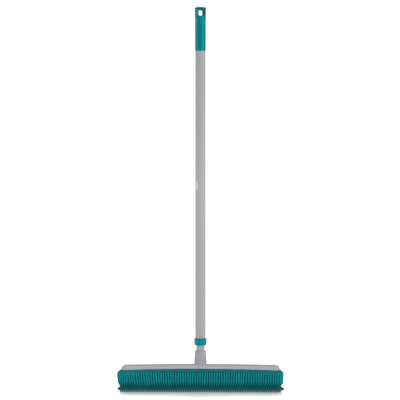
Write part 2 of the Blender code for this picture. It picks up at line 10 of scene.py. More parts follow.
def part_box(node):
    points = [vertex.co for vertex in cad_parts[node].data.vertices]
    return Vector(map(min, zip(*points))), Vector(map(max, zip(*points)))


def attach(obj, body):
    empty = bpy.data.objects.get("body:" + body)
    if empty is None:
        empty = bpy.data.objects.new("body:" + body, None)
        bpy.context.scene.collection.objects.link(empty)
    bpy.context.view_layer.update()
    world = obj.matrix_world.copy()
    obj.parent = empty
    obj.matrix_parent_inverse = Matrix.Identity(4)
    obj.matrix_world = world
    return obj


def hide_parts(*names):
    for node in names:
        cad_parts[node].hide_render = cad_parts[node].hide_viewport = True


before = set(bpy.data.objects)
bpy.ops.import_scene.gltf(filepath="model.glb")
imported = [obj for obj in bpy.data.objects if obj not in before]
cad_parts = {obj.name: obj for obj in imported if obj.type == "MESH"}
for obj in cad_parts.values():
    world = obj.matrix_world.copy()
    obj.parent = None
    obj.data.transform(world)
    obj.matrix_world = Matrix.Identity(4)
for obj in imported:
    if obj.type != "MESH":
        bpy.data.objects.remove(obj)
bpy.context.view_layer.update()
scene = bpy.context.scene
chance = random.Random(7)

# ---- Driving sizes ----

# Metres, in the CAD's frame: X along the head, Y from its front to its back, Z up

ARCH_RISE, ARCH_HALF = 0.0035, 0.1795
CREST_MIDDLE, CREST_FALL, CROWN = 0.0612, 0.00175, 0.0010
SHELL_X, SHELL_Y, SHELL_CORNER = 0.1814, 0.0250, 0.0125
SHELL_BOTTOM = 0.0489
SHELL_WALL = 0.0025
SHELL_END_ROUND, SHELL_SIDE_ROUND = 0.0105, 0.0062
PAD_UNDERSIDE = 0.0400
PAD_FLOOR = 0.0440
RIM_TOP = 0.0496
LIP_BOTTOM, LIP_TOP = 0.0471, 0.0486
SCREW_X = (0.0400, 0.1000, 0.1600)
SCREW_PLACES = [side * x for x in SCREW_X for side in (-1, 1)]
HANDLE_YAW = math.radians(22)

grip_low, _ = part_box("hand_grip")
_, tube_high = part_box("outer_tube")
neck_low, neck_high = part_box("inner_tube")
_, collar_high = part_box("lock_collar")
_, shell_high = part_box("head_shell")


def arch(x):
    """How far the head is lifted by its arch, from the middle down to nothing near its ends."""
    return ARCH_RISE * (1 - (x / ARCH_HALF) ** 2)


def crest(x, y=0.0):
    """Height of the shell's top, which falls towards its ends and its long edges."""
    return CREST_MIDDLE - CREST_FALL * (x / SHELL_X) ** 2 - CROWN * (y / SHELL_Y) ** 2


def curve(points, steps=4):
    """Points on a smooth line through the given ones."""
    p = np.array([points[0], *points, points[-1]], float)
    out = []
    for i in range(1, len(p) - 2):
        for t in np.arange(steps) / steps:
            a, b = (p[i + 1] - p[i - 1]) / 2, (p[i + 2] - p[i]) / 2
            h = (2 * t**3 - 3 * t**2 + 1, t**3 - 2 * t**2 + t, 3 * t**2 - 2 * t**3, t**3 - t**2)
            out.append(tuple(h[0] * p[i] + h[1] * a + h[2] * p[i + 1] + h[3] * b))
    return out + [tuple(p[-1])]


def smooth(t):
    """An even step from 0 to 1, level at both ends."""
    t = np.clip(t, 0, 1)
    return t * t * (3 - 2 * t)


# ---- Mesh helpers ----

SIDES = 96


def from_bmesh(name, bm):
    """An object from a bmesh, which is freed."""
    mesh = bpy.data.meshes.new(name)
    bm.to_mesh(mesh)
    bm.free()
    obj = bpy.data.objects.new(name, mesh)
    scene.collection.objects.link(obj)
    return obj


def build(name, verts, faces, weld=1e-6):
    """A smooth-shaded object whose faces point out."""
    mesh = bpy.data.meshes.new(name)
    mesh.from_pydata([tuple(v) for v in verts], [], faces)
    bm = bmesh.new()
    bm.from_mesh(mesh)
    bpy.data.meshes.remove(mesh)
    bmesh.ops.remove_doubles(bm, verts=bm.verts, dist=weld)
    bmesh.ops.dissolve_degenerate(bm, dist=1e-7, edges=bm.edges)
    bmesh.ops.recalc_face_normals(bm, faces=bm.faces)
    obj = from_bmesh(name, bm)
    obj.data.shade_smooth()
    return obj


def grid_faces(rows, columns, wrap_rows=False, start=0):
    """Quads over rows of points, each row a closed ring."""
    faces = []
    for i in range(rows - (not wrap_rows)):
        a = start + i * columns
        b = start + (i + 1) % rows * columns
        for j in range(columns):
            k = (j + 1) % columns
            faces.append((a + j, a + k, b + k, b + j))
    return faces


def capped_faces(rows, columns, start=0):
    """Quads over rows of points, and one face over the first row and one over the last."""
    last = start + (rows - 1) * columns
    caps = [tuple(range(first, first + columns)) for first in (start, last)]
    return grid_faces(rows, columns, start=start) + caps


def lathe_points(profile, sides):
    """Rings about Z for (radius, height) points, the first point of each at -X."""
    turns = math.pi + np.arange(sides) * 2 * math.pi / sides
    return np.array([[(r * math.cos(a), r * math.sin(a), z) for a in turns] for r, z in profile])


def lathe(name, profile, sides=SIDES, closed=False):
    """A solid of revolution about Z. A closed profile joins its last ring to its first."""
    rings = lathe_points(profile, sides)
    verts = rings.reshape(-1, 3)
    return build(name, verts, grid_faces(len(profile), sides, closed))


def fillet(corner, before, after, radius, steps=5):
    """Profile points that round off a corner between its two neighbours."""
    corner, before, after = (np.array(p, float) for p in (corner, before, after))
    u = (before - corner) / np.linalg.norm(before - corner)
    v = (after - corner) / np.linalg.norm(after - corner)
    half = math.acos(np.clip(u @ v, -1, 1)) / 2
    reach = radius / math.tan(half)
    centre = corner + (u + v) / np.linalg.norm(u + v) * radius / math.sin(half)
    first, last = corner + u * reach - centre, corner + v * reach - centre
    points = []
    for i in range(steps + 1):
        t = i / steps
        angle = math.acos(np.clip(first @ last / radius**2, -1, 1))
        mixed = (
            math.sin((1 - t) * angle) * first + math.sin(t * angle) * last
        ) / math.sin(angle)
        points.append(tuple(centre + mixed))
    return points


def rounded(points, closed=False):
    """A profile from (radius, height, rounding) points."""
    out = []
    count = len(points)
    for i, (x, z, r) in enumerate(points):
        inside = closed or 0 < i < count - 1
        if r and inside:
            out += fillet((x, z), points[i - 1][:2], points[(i + 1) % count][:2], r)
        else:
            out.append((x, z))
    return out


def outline(half_x, half_y, corner, along=96, across=14, bend=9):
    """Points round a rounded rectangle, the same number for any size."""
    c = max(min(corner, half_x, half_y), 0)
    x, y = half_x - c, half_y - c
    parts = []
    for start, end, count in (
        ((-x, -half_y), (x, -half_y), along),
        ((x, -y), -90, bend),
        ((half_x, -y), (half_x, y), across),
        ((x, y), 0, bend),
        ((x, half_y), (-x, half_y), along),
        ((-x, y), 90, bend),
        ((-half_x, y), (-half_x, -y), across),
        ((-x, -y), 180, bend),
    ):
        t = np.arange(count)[:, None] / count
        if isinstance(end, tuple):
            parts.append(np.array(start) * (1 - t) + np.array(end) * t)
        else:
            a = np.radians(end + 90 * t)
            parts.append(np.array(start) + c * np.hstack([np.cos(a), np.sin(a)]))
    return np.vstack(parts)


def dish(name, rows):
    """A loft through rounded rectangles: (half_x, half_y, corner, height as f(x, y))."""
    rings = []
    for half_x, half_y, corner, height in rows:
        flat = outline(half_x, half_y, corner)
        rings.append(np.column_stack([flat, height(flat[:, 0], flat[:, 1])]))
    rings = np.array(rings)
    return build(name, rings.reshape(-1, 3), grid_faces(len(rings), rings.shape[1]))


def cut(obj, tool, operation):
    """Applies a Boolean and removes the tool."""
    modifier = obj.modifiers.new("cut", "BOOLEAN")
    modifier.operation = operation
    modifier.object = tool
    graph = bpy.context.evaluated_depsgraph_get()
    mesh = bpy.data.meshes.new_from_object(obj.evaluated_get(graph))
    obj.modifiers.clear()
    obj.data = mesh
    bpy.data.objects.remove(tool)
    return obj


def soften(obj, angle):
    """Smooth shading, with an edge kept sharp where its faces meet at more than the angle."""
    obj.data.shade_smooth()
    obj.data.set_sharp_from_angle(angle=math.radians(angle))
    return obj


def joined(name, objects):
    """One object from the meshes of several, which are removed."""
    bm = bmesh.new()
    for obj in objects:
        bm.from_mesh(obj.data)
        bpy.data.objects.remove(obj)
    whole = from_bmesh(name, bm)
    whole.data.shade_smooth()
    return whole


# ---- Materials ----

TEAL = (0.0010, 0.180, 0.196)
TEAL_SHINE = (0.02, 0.95, 1.0)
TEAL_COLLAR = (0.0010, 0.270, 0.295)
RUBBER = (0.0100, 0.285, 0.318)
RUBBER_SHADE = (0.0090, 0.120, 0.130)
RUBBER_DUST = (0.22, 0.30, 0.30)
TUBE_GREY = (0.43, 0.44, 0.45)
NECK_GREY = (0.455, 0.455, 0.475)
UPPER_SHADE = (0.10, 0.10, 0.09)
HEAD_GREY = (0.475, 0.48, 0.498)
NYLON = (0.70, 0.70, 0.66)
ZINC_WARM, ZINC_COOL = (0.62, 0.60, 0.52), (0.56, 0.57, 0.60)

# Where looks change, as heights: painted shade above the grip's eye, and the socket's darker part
EYE_SHADE_LOW, EYE_SHADE_HIGH = (0.8672, 0.8700), (0.8735, 0.8765)
SOCKET_FADE = (0.0600, 0.0660)

# The plain pale patch on the tube: where it is round the tube and up it, and its half size
PATCH_TURN, PATCH_HALF_TURN, PATCH_SIDE_FADE = math.radians(-138), 0.34, 0.03
PATCH_HEIGHT, PATCH_HALF_HEIGHT, PATCH_END_FADE = 0.4684, 0.0135, 0.0080
PATCH_COLOUR = (0.68, 0.71, 0.73)
SEAM_TURN = math.radians(72)


class Nodes:
    """Shorthand for building a node tree."""

    def __init__(self, tree):
        self.tree = tree

    def add(self, kind, **settings):
        node = self.tree.nodes.new(kind)
        for key, value in settings.items():
            setattr(node, key, value)
        return node

    def link(self, source, target):
        if isinstance(source, (int, float)):
            target.default_value = source
        elif isinstance(source, tuple):
            target.default_value = (*source, 1)
        else:
            self.tree.links.new(source, target)

    def math(self, operation, a, b=0.0):
        node = self.add("ShaderNodeMath", operation=operation)
        self.link(a, node.inputs[0])
        self.link(b, node.inputs[1])
        return node.outputs[0]

    def span(self, value, low, high, out_low=0.0, out_high=1.0):
        """A smooth step: out_low where the value is at low, out_high where it is at high."""
        node = self.add("ShaderNodeMapRange", interpolation_type="SMOOTHSTEP")
        self.link(value, node.inputs["Value"])
        for key, number in zip(
            ("From Min", "From Max", "To Min", "To Max"), (low, high, out_low, out_high)
        ):
            node.inputs[key].default_value = number
        return node.outputs["Result"]


class Paint(Nodes):
    """A material's tree, round its Principled shader, with places in the object's frame."""

    def __init__(self, name):
        self.material = bpy.data.materials.new(name)
        self.material.use_nodes = True
        super().__init__(self.material.node_tree)
        self.shader = self.tree.nodes["Principled BSDF"]
        self.place = self.add("ShaderNodeTexCoord").outputs["Object"]

    def noise(self, scale, detail=3.0, roughness=0.5, place=None):
        node = self.add("ShaderNodeTexNoise")
        self.link(place or self.place, node.inputs["Vector"])
        node.inputs["Scale"].default_value = scale
        node.inputs["Detail"].default_value = detail
        node.inputs["Roughness"].default_value = roughness
        return node.outputs["Fac"]

    def stretched(self, x, y, z):
        node = self.add("ShaderNodeMapping")
        self.link(self.place, node.inputs["Vector"])
        node.inputs["Scale"].default_value = (x, y, z)
        return node.outputs["Vector"]

    def mix(self, factor, a, b):
        node = self.add("ShaderNodeMix", data_type="RGBA")
        self.link(factor, node.inputs[0])
        self.link(a, node.inputs[6])
        self.link(b, node.inputs[7])
        return node.outputs[2]

    def axis(self):
        """The place's X, Y and Z."""
        node = self.add("ShaderNodeSeparateXYZ")
        self.link(self.place, node.inputs[0])
        return node.outputs

    def bump(self, height, distance, strength=1.0, after=None):
        node = self.add("ShaderNodeBump")
        node.inputs["Distance"].default_value = distance
        node.inputs["Strength"].default_value = strength
        self.link(height, node.inputs["Height"])
        if after:
            self.link(after, node.inputs["Normal"])
        return node.outputs["Normal"]

    def finish(self, colour, roughness, normal=None, metallic=0.0, specular=0.5, tint=None):
        self.link(colour, self.shader.inputs["Base Color"])
        self.link(roughness, self.shader.inputs["Roughness"])
        if normal:
            self.link(normal, self.shader.inputs["Normal"])
        self.shader.inputs["Metallic"].default_value = metallic
        self.shader.inputs["Specular IOR Level"].default_value = specular
        if tint:
            self.shader.inputs["Specular Tint"].default_value = (*tint, 1)
        return self.material


def shade(colour, factor):
    return tuple(c * factor for c in colour)


def moulded_plastic(
    name, colour, roughness, specular=0.45, streak=0.06, tint=None, socket=False, eye_shade=False
):
    """Satin moulded plastic: faint flow marks, fine spark-eroded grain, rubbed patches. The
    head's gets darker up its socket, and the grip's has painted shade above its eye."""
    n = Paint(name)
    flow = n.noise(1.0, 4.0, 0.55, n.stretched(60, 60, 14))
    tone = n.span(flow, 0.3, 0.7)
    paint = n.mix(tone, shade(colour, 1 - streak), shade(colour, 1 + streak))
    if socket:
        paint = n.mix(n.span(n.axis()[2], *SOCKET_FADE), paint, shade(colour, 0.84))
    # Painted shade: the grip darker over the top of its eye
    if eye_shade:
        z = n.axis()[2]
        shade_mask = n.math("MULTIPLY", n.span(z, *EYE_SHADE_LOW), n.span(z, *reversed(EYE_SHADE_HIGH)))
        paint = n.mix(shade_mask, paint, shade(colour, 0.60))
    rubbed = n.span(n.noise(45, 3.0), 0.45, 0.75)
    rough = n.span(rubbed, 0, 1, roughness + 0.04, roughness - 0.07)
    fine = n.noise(2600, 2.0, 0.6)
    normal = n.bump(fine, 0.00002, 0.6)
    return n.finish(paint, rough, normal, specular=specular, tint=tint)


def paint_coat(name, colour, patch=False):
    """Silver-grey powder coat: orange peel, a fleck of metal, scuffs, painted shade higher up
    and a weld seam down the back."""
    n = Paint(name)
    fleck = n.noise(3800, 1.0, 0.5)
    cloud = n.noise(1.0, 3.0, 0.5, n.stretched(30, 30, 5))
    tone = n.span(cloud, 0.3, 0.7)
    paint = n.mix(tone, shade(colour, 0.965), shade(colour, 1.035))
    paint = n.mix(n.span(fleck, 0.52, 0.72), paint, shade(colour, 1.22))
    scuff = n.span(n.noise(1.0, 4.0, 0.65, n.stretched(700, 700, 9)), 0.58, 0.78)
    rough = n.span(scuff, 0, 1, 0.40, 0.54)
    x, y, z = n.axis()
    turn = n.math("ARCTAN2", y, x)
    if patch:
        far = n.math("ABSOLUTE", n.math("SUBTRACT", turn, PATCH_TURN))
        tall = n.math("ABSOLUTE", n.math("SUBTRACT", z, PATCH_HEIGHT))
        inside = n.math(
            "MULTIPLY",
            n.span(far, PATCH_HALF_TURN, PATCH_HALF_TURN - PATCH_SIDE_FADE),
            n.span(tall, PATCH_HALF_HEIGHT, PATCH_HALF_HEIGHT - PATCH_END_FADE),
        )
        worn = n.span(n.noise(900, 3.0, 0.7), 0.30, 0.42)
        inside = n.math("MULTIPLY", inside, worn)
        paint = n.mix(n.math("MULTIPLY", inside, 0.85), paint, PATCH_COLOUR)
    # Painted shade: the coat darker higher up the tube, in patches
    upper_shade_mask = n.math("MULTIPLY", n.span(z, 0.42, 0.74), n.span(cloud, 0.2, 0.8, 0.7, 1.0))
    paint = n.mix(n.math("MULTIPLY", upper_shade_mask, 0.16), paint, UPPER_SHADE)
    seam = n.math("ABSOLUTE", n.math("SUBTRACT", turn, SEAM_TURN))
    ridge = n.span(seam, 0.05, 0.02)
    peel = n.noise(1100, 2.0, 0.45)
    normal = n.bump(ridge, 0.00005, 0.7)
    normal = n.bump(peel, 0.000018, 0.8, normal)
    return n.finish(paint, rough, normal, specular=0.22)


def moulded_rubber(name, colour, shade_colour):
    """Soft rubber: dull, with a bloom and dust, and painted shade towards the bristles' tips
    and on the rim above them."""
    n = Paint(name)
    z = n.axis()[2]
    cloud = n.noise(1.0, 4.0, 0.6, n.stretched(70, 70, 40))
    wander = n.math("MULTIPLY", n.math("SUBTRACT", cloud, 0.5), 0.006)
    height = n.math("ADD", z, wander)
    # Painted shade: darker low down, where the bristles curl in under the rim
    low = n.span(height, 0.0275, 0.0115)
    tone = n.span(cloud, 0.3, 0.7)
    paint = n.mix(tone, shade(colour, 0.92), shade(colour, 1.08))
    paint = n.mix(low, paint, shade_colour)
    # Painted shade on the rim's top band, under the shell's edge
    paint = n.mix(n.span(z, 0.0425, 0.0450, 0.0, 0.75), paint, shade_colour)
    dust = n.span(n.noise(5200, 2.0, 0.7), 0.66, 0.78)
    dust = n.math("MULTIPLY", dust, n.span(height, 0.05, 0.0, 0.05, 0.35))
    paint = n.mix(dust, paint, RUBBER_DUST)
    rough = n.span(cloud, 0.2, 0.8, 0.52, 0.68)
    fine = n.noise(1900, 3.0, 0.6)
    return n.finish(paint, rough, n.bump(fine, 0.00004, 0.7), specular=0.15, tint=TEAL_SHINE)


def plated_steel(name):
    """Zinc plate: turning marks and a patchy blush."""
    n = Paint(name)
    turned = n.noise(1.0, 3.0, 0.6, n.stretched(900, 900, 5000))
    blush = n.span(n.noise(300, 2.0), 0.35, 0.65)
    paint = n.mix(blush, ZINC_WARM, ZINC_COOL)
    rough = n.span(turned, 0.3, 0.7, 0.24, 0.42)
    return n.finish(paint, rough, n.bump(turned, 0.00001, 0.6), metallic=1.0)


teal_plastic = moulded_plastic("teal_moulded", TEAL, 0.27, specular=0.8, tint=TEAL_SHINE, eye_shade=True)
collar_plastic = moulded_plastic("teal_collar", TEAL_COLLAR, 0.33, specular=0.4, tint=TEAL_SHINE)
head_plastic = moulded_plastic("grey_moulded", HEAD_GREY, 0.46, specular=0.35, streak=0.03, socket=True)
white_plastic = moulded_plastic("nylon_moulded", NYLON, 0.5, streak=0.02)
tube_paint = paint_coat("tube_paint", TUBE_GREY, patch=True)
neck_paint = paint_coat("neck_paint", NECK_GREY)
rubber = moulded_rubber("teal_rubber_skin", RUBBER, RUBBER_SHADE)
steel = plated_steel("zinc_plate")


def place(obj, material, body, slot, *nodes):
    """Paints a piece, says what it rides on and hides the CAD nodes it stands for. Its slot is not
    used.
    """
    obj.data.materials.clear()
    obj.data.materials.append(material)
    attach(obj, body)
    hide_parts(*nodes)


# ---- Tubes and collar ----

OUTER_RADIUS, OUTER_FOOT = 0.0112, 0.1068
NECK_RADIUS = 0.0094
TUBE_WALL, TUBE_EDGE = 0.0006, 0.00012
TUBE_RING = 0.03

COLLAR_RADIUS, COLLAR_BORE = 0.0136, 0.0113
COLLAR_LOW, COLLAR_STEP, COLLAR_TOP = 0.1047, 0.1065, 0.1208
COLLAR_GROOVE = 0.00025
SLEEVE_OUT, SLEEVE_IN = 0.0103, 0.00955


def tube(name, low, high, radius):
    """A thin-walled tube, with a ring of points about every TUBE_RING up its walls."""
    inside = radius - TUBE_WALL
    corners = ((radius, high), (radius, low), (inside, low), (inside, high))
    profile = rounded([(r, z, TUBE_EDGE) for r, z in corners], closed=True)
    upright = []
    for a, b in zip(profile, profile[1:] + profile[:1]):
        steps = max(1, round(abs(b[1] - a[1]) / TUBE_RING))
        for i in range(steps):
            t = i / steps
            upright.append((a[0] + (b[0] - a[0]) * t, a[1] + (b[1] - a[1]) * t))
    return lathe(name, upright, closed=True)


def make_collar():
    """A collar round the outer tube's foot, with a fine groove round it and a thin sleeve
    that runs up inside the tube."""
    groove = COLLAR_RADIUS - COLLAR_GROOVE
    profile = rounded(
        [
            (COLLAR_RADIUS, COLLAR_TOP, 0.0007),
            (COLLAR_RADIUS, COLLAR_TOP - 0.0030, 0),
            (groove, COLLAR_TOP - 0.0033, 0),
            (groove, COLLAR_TOP - 0.0037, 0),
            (COLLAR_RADIUS, COLLAR_TOP - 0.0040, 0),
            (COLLAR_RADIUS, COLLAR_LOW, 0.0022),
            (SLEEVE_IN, COLLAR_LOW, 0.0004),
            (SLEEVE_IN, collar_high.z, 0.0002),
            (SLEEVE_OUT, collar_high.z, 0.0002),
            (SLEEVE_OUT, COLLAR_STEP, 0),
            (COLLAR_BORE, COLLAR_STEP, 0),
            (COLLAR_BORE, COLLAR_TOP, 0.0003),
        ],
        closed=True,
    )
    return soften(lathe("lock_collar_skin", profile, closed=True), 50)


outer = tube("outer_tube_skin", OUTER_FOOT, tube_high.z, OUTER_RADIUS)
place(outer, tube_paint, "handle", "grey_paint", "outer_tube")
inner = tube("inner_tube_skin", neck_low.z, neck_high.z, NECK_RADIUS)
place(inner, neck_paint, "head", "grey_paint", "inner_tube")
collar = make_collar()
place(collar, collar_plastic, "handle", "teal_plastic", "lock_collar")


# ---- Grip with its hanging eye ----

GRIP_RADIUS, GRIP_BORE = 0.01195, 0.0113
GRIP_STOP = tube_high.z + 0.0004
GRIP_TOP, GRIP_CROWN, GRIP_SHOULDER = 0.8757, 0.0006, 0.0030
GRIP_FLARE_LOW, GRIP_FLARE_HIGH, GRIP_FLARE_ROUND = 0.8490, 0.8520, 0.0030

# The eye is a tunnel from front to back through the band that holds it
EYE_RADIUS = 0.0124
EYE_LOW, EYE_HIGH = 0.8553, 0.8686
EYE_HALF_WIDTH, EYE_CORNER = 0.0077, 0.0028
EYE_FILLET, EYE_TOP_FILLET = 0.0011, 0.0040
BAND_LOW, BAND_HIGH = 0.8522, 0.8735
BAND_STEPS, BAND_RINGS, FILLET_RINGS = 10, 9, 5


def eye_edge(counts):
    """Points and outward normals round the eye in X and Z, in four runs that start at its
    corners' middles: along the top, down the right, along the bottom, up the left."""
    a, b, c = EYE_HALF_WIDTH, (EYE_HIGH - EYE_LOW) / 2, EYE_CORNER
    runs = (
        ((-a + c, b - c), 135, (a - c, b - c), counts[0]),
        ((a - c, b - c), 45, (a - c, -b + c), counts[1]),
        ((a - c, -b + c), -45, (-a + c, -b + c), counts[2]),
        ((-a + c, -b + c), -135, (-a + c, b - c), counts[3]),
    )
    points, normals = [], []
    bend = c * math.pi / 4
    for first, angle, second, count in runs:
        first, second = np.array(first), np.array(second)
        straight = np.linalg.norm(second - first)
        total = straight + 2 * bend
        for i in range(count):
            s = total * i / count
            if s < bend:
                turn, centre = math.radians(angle) - s / c, first
            elif s < bend + straight:
                turn = math.radians(angle - 45)
                centre = first + (second - first) * (s - bend) / straight
            else:
                turn = math.radians(angle - 45) - (s - bend - straight) / c
                centre = second
            normal = np.array([math.cos(turn), math.sin(turn)])
            points.append(centre + c * normal)
            normals.append(normal)
    return np.array(points), np.array(normals)


def eye_side():
    """Rings of the front half of the eye's band, from its rectangle in to the eye's tunnel."""
    half = SIDES // 2
    counts = (half, BAND_STEPS, half, BAND_STEPS)
    edge, normals = eye_edge(counts)
    middle = (EYE_LOW + EYE_HIGH) / 2
    wide = math.pi * EYE_RADIUS / 2
    corners = [(-wide, BAND_HIGH), (wide, BAND_HIGH), (wide, BAND_LOW), (-wide, BAND_LOW)]
    border = []
    for i, count in enumerate(counts):
        p, q = np.array(corners[i]), np.array(corners[(i + 1) % 4])
        border += [p + (q - p) * k / count for k in range(count)]
    border = np.array(border)
    fillets = EYE_FILLET + (EYE_TOP_FILLET - EYE_FILLET) * np.clip(normals[:, 1], 0, 1) ** 2
    fillets = fillets[:, None]
    near = edge + normals * fillets
    near = np.column_stack(
        [EYE_RADIUS * np.arcsin(near[:, 0] / EYE_RADIUS), near[:, 1] + middle]
    )
    rings = []
    # Over the band's round face, unrolled flat, from its border to the start of the fillet
    for i in range(BAND_RINGS + 1):
        t = (i / BAND_RINGS) ** 0.8
        flat = border * (1 - t) + near * t
        turn = flat[:, 0] / EYE_RADIUS
        rings.append(
            np.column_stack([EYE_RADIUS * np.sin(turn), -EYE_RADIUS * np.cos(turn), flat[:, 1]])
        )
    # Round the fillet
    for i in range(1, FILLET_RINGS + 1):
        a = math.radians(90 * i / FILLET_RINGS)
        flat = edge + normals * fillets * (1 - math.sin(a))
        y = -np.sqrt(EYE_RADIUS**2 - flat[:, 0] ** 2) + fillets[:, 0] * (1 - math.cos(a))
        rings.append(np.column_stack([flat[:, 0], y, flat[:, 1] + middle]))
    # Straight on through the tunnel, to its middle
    for share in (0.6, 0.25, 0.0):
        rings.append(rings[-1] * [1, 0, 1] + np.outer(y * share, [0, 1, 0]))
    return np.array(rings)


def make_grip():
    """A domed top, the eye's band and a plain round body, in one closed surface."""
    rise = GRIP_TOP - GRIP_CROWN - BAND_HIGH
    upper = []
    for i in range(9):
        a = math.radians(90 * i / 8)
        radius = EYE_RADIUS - GRIP_SHOULDER * (1 - math.cos(a))
        upper.append((radius, BAND_HIGH + rise * math.sin(a)))
    for share in (0.8, 0.6, 0.4, 0.2, 0.0):
        radius = (EYE_RADIUS - GRIP_SHOULDER) * share
        upper.append((radius, GRIP_TOP - GRIP_CROWN * share**2))
    low = grip_low.z
    lower = rounded(
        [
            (EYE_RADIUS, BAND_LOW, 0),
            (EYE_RADIUS, GRIP_FLARE_HIGH, GRIP_FLARE_ROUND),
            (GRIP_RADIUS, GRIP_FLARE_LOW, GRIP_FLARE_ROUND),
            (GRIP_RADIUS, 0.8300, 0),
            (GRIP_RADIUS, 0.8060, 0),
            (GRIP_RADIUS, low + 0.0050, 0.0003),
            (GRIP_RADIUS - 0.0005, low + 0.0030, 0.0003),
            (GRIP_RADIUS - 0.0005, low, 0.0005),
            (GRIP_BORE, low, 0.0002),
            (GRIP_BORE, GRIP_STOP, 0),
            (0, GRIP_STOP, 0),
        ]
    )
    front = eye_side()
    back = front * [-1, -1, 1]
    verts, faces = [], []
    for rings in (front, back, lathe_points(upper, SIDES), lathe_points(lower, SIDES)):
        faces += grid_faces(len(rings), rings.shape[1], start=len(verts))
        verts += list(rings.reshape(-1, 3))
    grip = build("hand_grip_skin", verts, faces, weld=2e-6)
    grip.data.transform(Matrix.Rotation(HANDLE_YAW, 4, "Z"))
    return soften(grip, 60)


grip = make_grip()
place(grip, teal_plastic, "handle", "teal_plastic", "hand_grip")


# ---- Head shell with its socket ----

SOCKET_FOOT, SOCKET_BODY, SOCKET_NECK = 0.0162, 0.0138, 0.0125
SOCKET_BORE, THREAD_BORE = 0.0105, 0.0103
SOCKET_UNDERSIDE, SOCKET_FLOOR = 0.0545, 0.0590
SOCKET_STEP_LOW, SOCKET_STEP_HIGH = 0.0765, 0.0830
POST_RADIUS, PILOT_RADIUS, PILOT_DEPTH = 0.0040, 0.0022, 0.0098


def pegs(name, radius, low, high, sides):
    """Upright pegs at the screws' places in one object, with low and high as functions of x."""
    pieces = []
    for x in SCREW_PLACES:
        foot, head = low(x), high(x)
        peg = lathe(name, [(0, foot), (radius, foot), (radius, head), (0, head)], sides)
        peg.data.transform(Matrix.Translation((x, 0, 0)))
        pieces.append(peg)
    return joined(name, pieces)


def make_cover():
    """The arched cover, as a loft from its spine over its edge and back up inside it."""

    def bottom(x):
        return SHELL_BOTTOM + arch(x)

    rows = []

    def add(inset_x, inset_y, z):
        corner = SHELL_CORNER - min(inset_x, inset_y) * 0.9
        rows.append((SHELL_X - inset_x, SHELL_Y - inset_y, corner, z))

    # Outside: the spine, then down over the rounded edge. The table gives how far in from
    # the edge, as a share of the rounding, and how far down, as a share of the height.
    flat = SHELL_Y - SHELL_SIDE_ROUND
    for share in (1.0, 0.8, 0.6, 0.4, 0.2):
        add(SHELL_END_ROUND + share * flat, SHELL_SIDE_ROUND + share * flat, crest)
    section = (
        (1.0, 0.0), (0.70, 0.05), (0.50, 0.14), (0.35, 0.27), (0.24, 0.42),
        (0.13, 0.62), (0.05, 0.80), (0.0, 0.93),
    )
    for inset, drop in curve(section):
        add(
            SHELL_END_ROUND * inset,
            SHELL_SIDE_ROUND * inset,
            lambda x, y, d=drop: crest(x, y) - (crest(x, y) - bottom(x)) * d,
        )
    # The lower edge, from outside to inside and up to where the hollow starts to round in
    w = SHELL_WALL
    for inset, rise in (
        (0.0001, 0.00015), (0.0003, 0.0), (w - 0.0002, 0.0), (w, 0.0002), (w, 0.0010),
    ):
        add(inset, inset, lambda x, y, r=rise: bottom(x) + r)
    # Inside, up to the hollow's top
    for i in range(7):
        a = math.radians(90 * i / 6)
        drop, out = 1 - math.sin(a), math.cos(a)
        add(
            w + (SHELL_END_ROUND - w) * (1 - out),
            w + (SHELL_SIDE_ROUND - w) * (1 - out),
            lambda x, y, d=drop: crest(x, y) - w - (crest(x, y) - w - bottom(x) - 0.0012) * d,
        )
    for share in (0.4, 0.8, 1.0):
        add(
            SHELL_END_ROUND + share * flat,
            SHELL_SIDE_ROUND + share * flat,
            lambda x, y: crest(x, y) - w,
        )
    return dish("head_shell_skin", rows)


def make_socket():
    """The stepped socket, with a foot that blends into the cover and a blind bore."""
    middle, top = crest(0), shell_high.z
    profile = rounded(
        [
            (0, SOCKET_UNDERSIDE, 0),
            (0.0148, SOCKET_UNDERSIDE, 0),
            (SOCKET_FOOT, middle - 0.0008, 0),
            (SOCKET_FOOT, middle - 0.00015, 0),
            (SOCKET_BODY, middle + 0.0001, 0.0022),
            (SOCKET_BODY - 0.0001, SOCKET_STEP_LOW, 0.0015),
            (SOCKET_NECK, SOCKET_STEP_HIGH, 0.0015),
            (SOCKET_NECK, top, 0.0008),
            (SOCKET_BORE, top, 0.0004),
            (SOCKET_BORE, top - 0.0106, 0),
            (THREAD_BORE, top - 0.0121, 0),
            (THREAD_BORE, SOCKET_FLOOR, 0),
            (0, SOCKET_FLOOR, 0),
        ]
    )
    return lathe("socket", profile)


def make_shell():
    """The cover with its socket and six hollow posts for the screws."""
    shell = cut(make_cover(), make_socket(), "UNION")
    posts = pegs(
        "posts",
        POST_RADIUS,
        lambda x: LIP_BOTTOM + arch(x),
        lambda x: crest(x) - SHELL_WALL / 2,
        24,
    )
    cut(shell, posts, "UNION")
    pilots = pegs(
        "pilots",
        PILOT_RADIUS,
        lambda x: LIP_BOTTOM + arch(x) - 0.002,
        lambda x: PAD_FLOOR + arch(x) + PILOT_DEPTH,
        24,
    )
    cut(shell, pilots, "DIFFERENCE")
    return soften(shell, 40)


shell = make_shell()
place(shell, head_plastic, "head", "grey_plastic", "head_shell")


# ---- Rubber moulding ----

# The outer bristles stand round this outline, from one end of the back to the other
FRINGE_X, FRINGE_Y, FRINGE_CORNER = 0.1895, 0.0310, 0.0140
FRINGE_RETURN = 0.0360
RIB_PITCH, RIB_SIDES = 0.00554, 12
RIB_WIDTH, RIB_THICK, RIB_SUNK = 0.0039, 0.0030, 0.0042
RIB_HEIGHTS = (
    0.0465, 0.0452, 0.0440, 0.0425, 0.0400, 0.0360, 0.0320, 0.0290, 0.0250,
    0.0210, 0.0170, 0.0130, 0.0090, 0.0055, 0.0030, 0.0012, 0.0004, 0.0,
)

# They curl in under the rim, and those at the head's right end start to later
CURL_DEPTH = 0.0061
CURL_EARLY, CURL_EARLY_RIGHT, CURL_RIGHT_FROM = 0.25, 0.05, 0.1

